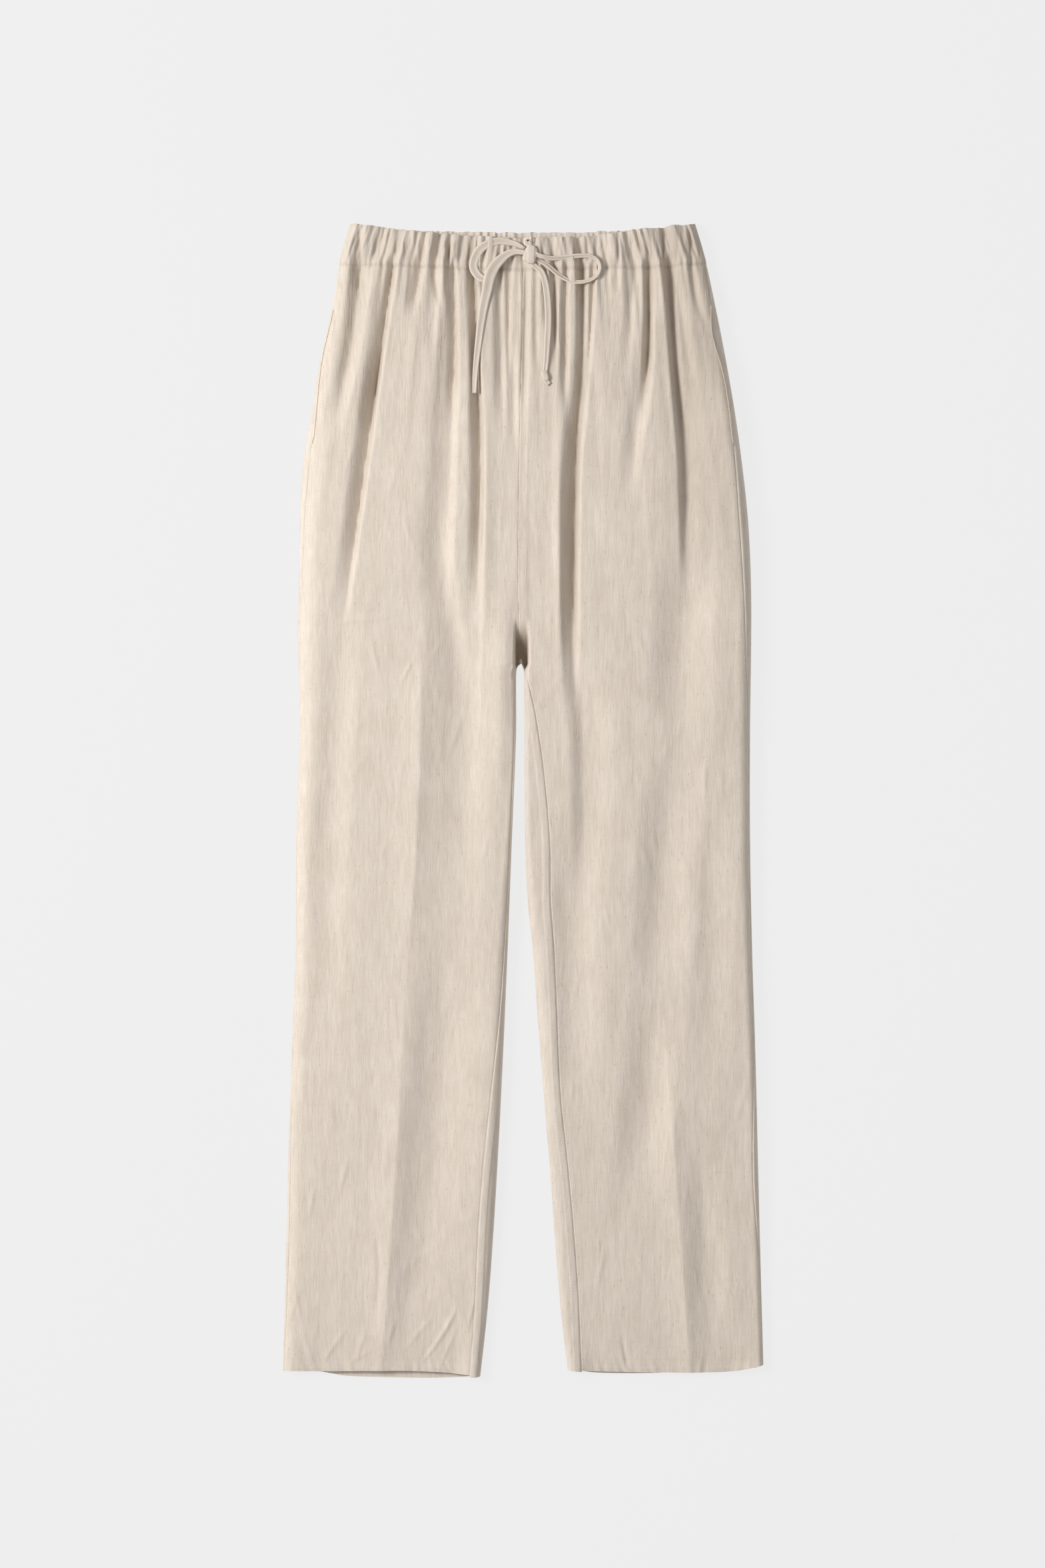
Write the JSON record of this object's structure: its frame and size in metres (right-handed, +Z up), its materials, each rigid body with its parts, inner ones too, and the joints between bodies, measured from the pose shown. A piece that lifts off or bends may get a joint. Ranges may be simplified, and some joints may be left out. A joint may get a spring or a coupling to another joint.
{
  "type": "linen drawstring trousers",
  "caption": "Straight-leg linen trousers with an elastic drawstring waist and side pockets, laid flat on their back.",
  "frame": {"origin": "on the ground, under the middle of the laid-out garment", "axes": "+Y along the legs towards the waist, +X towards the wearer's left, +Z up from the surface, out of the front"},
  "size_m": [0.4466, 1.0719, 0.0271],
  "materials": {
    "linen": "natural oatmeal linen, dry and slubby",
    "linen_back": "the same linen",
    "linen_band": "the same linen, gathered over elastic",
    "linen_tie": "the same linen, sewn into a narrow flat tie",
    "pocketing": "plain linen pocketing",
    "eyelet_thread": "close satin-stitched thread"
  },
  "bodies": {
    "root": {"front_right": "linen", "front_left": "linen", "back_right": "linen_back", "back_left": "linen_back", "waistband_front": "linen_band", "waistband_back": "linen_band", "pocket_bag_right": "pocketing", "pocket_bag_left": "pocketing", "drawstring_eyelet": "eyelet_thread", "tie_neck": "linen_tie", "tie_loop_right": "linen_tie", "tie_tail_right": "linen_tie", "tie_loop_left": "linen_tie", "tie_tail_left": "linen_tie", "tie_tip_left": "linen_tie", "tie_knot": "linen_tie", "tie_end_knot": "linen_tie"}
  },
  "joints": []
}
